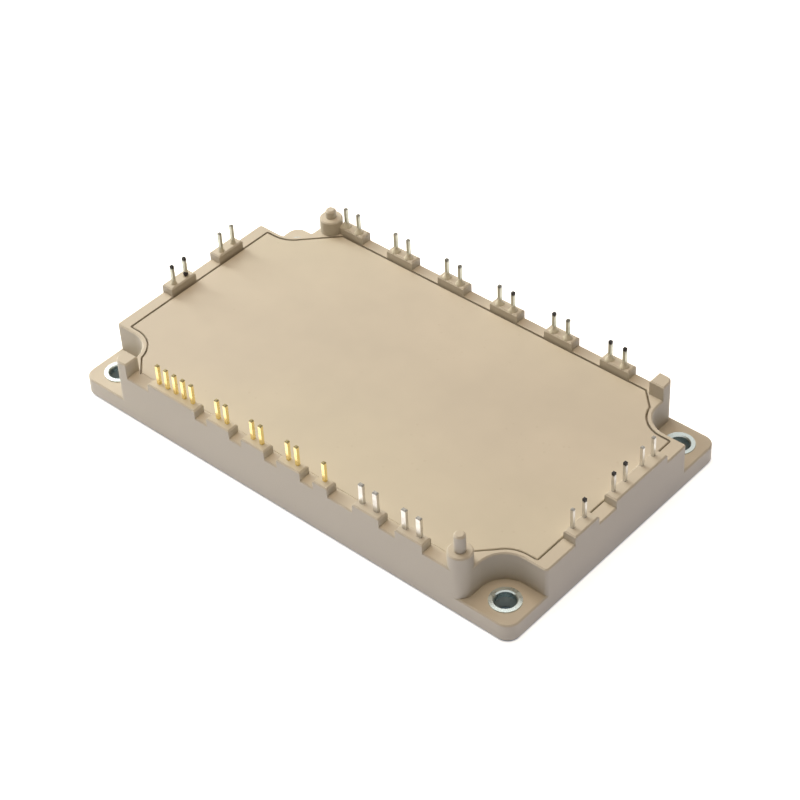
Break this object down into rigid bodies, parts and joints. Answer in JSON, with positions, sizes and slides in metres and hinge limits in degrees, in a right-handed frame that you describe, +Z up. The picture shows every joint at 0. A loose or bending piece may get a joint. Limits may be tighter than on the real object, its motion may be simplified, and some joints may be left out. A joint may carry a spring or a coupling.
{
  "type": "igbt module",
  "caption": "Flat moulded power module: a lidded plastic frame on a metal base plate, with upright pins along all edges, corner locating posts and an open mounting ear at each corner.",
  "frame": {"origin": "middle of the underside of the base plate, on the face that rests on the heat sink", "axes": "+X along the long side, +Y from the row of gold-plated pins to the far row, +Z up along the pins"},
  "size_m": [0.122, 0.0696, 0.0199],
  "materials": {
    "housing_plastic": "moulded, satin",
    "lid_plastic": "moulded, satin, faintly mottled",
    "nickel_plated_copper": "nickel plated, satin",
    "bushing_steel": "bright plated",
    "gold_plated_pin": "gold plated, bright",
    "tinned_pin": "tin plated, bright",
    "solder": "dull",
    "copper": "satin",
    "ceramic": "unglazed",
    "silicon": "polished",
    "thermistor_body": "glassy",
    "bond_wire": "drawn",
    "gel": "soft and clear"
  },
  "bodies": {
    "root": {"base_plate": "nickel_plated_copper", "base_solder_left": "solder", "base_solder_right": "solder", "bond_wires": "bond_wire", "bushing_left_far": "bushing_steel", "bushing_left_front": "bushing_steel", "bushing_right_far": "bushing_steel", "bushing_right_front": "bushing_steel", "ceramic_left": "ceramic", "ceramic_right": "ceramic", "copper_lower_left": "copper", "copper_lower_right": "copper", "copper_tracks_left": "copper", "copper_tracks_right": "copper", "diode_chips": "silicon", "housing_frame": "housing_plastic", "igbt_chips": "silicon", "lid": "lid_plastic", "pin_far_01": "tinned_pin", "pin_far_02": "tinned_pin", "pin_far_03": "tinned_pin", "pin_far_04": "tinned_pin", "pin_far_05": "tinned_pin", "pin_far_06": "tinned_pin", "pin_far_07": "tinned_pin", "pin_far_08": "tinned_pin", "pin_far_09": "tinned_pin", "pin_far_10": "tinned_pin", "pin_far_11": "tinned_pin", "pin_far_12": "tinned_pin", "pin_front_01": "gold_plated_pin", "pin_front_02": "gold_plated_pin", "pin_front_03": "gold_plated_pin", "pin_front_04": "gold_plated_pin", "pin_front_05": "gold_plated_pin", "pin_front_06": "gold_plated_pin", "pin_front_07": "gold_plated_pin", "pin_front_08": "gold_plated_pin", "pin_front_09": "gold_plated_pin", "pin_front_10": "gold_plated_pin", "pin_front_11": "gold_plated_pin", "pin_front_12": "gold_plated_pin", "pin_front_13": "tinned_pin", "pin_front_14": "tinned_pin", "pin_front_15": "tinned_pin", "pin_front_16": "tinned_pin", "pin_left_01": "tinned_pin", "pin_left_02": "tinned_pin", "pin_left_03": "tinned_pin", "pin_left_04": "tinned_pin", "pin_right_01": "tinned_pin", "pin_right_02": "tinned_pin", "pin_right_03": "tinned_pin", "pin_right_04": "tinned_pin", "pin_right_05": "tinned_pin", "pin_right_06": "tinned_pin", "rectifier_chips": "silicon", "silicone_gel": "gel", "thermistor": "thermistor_body"}
  },
  "joints": []
}
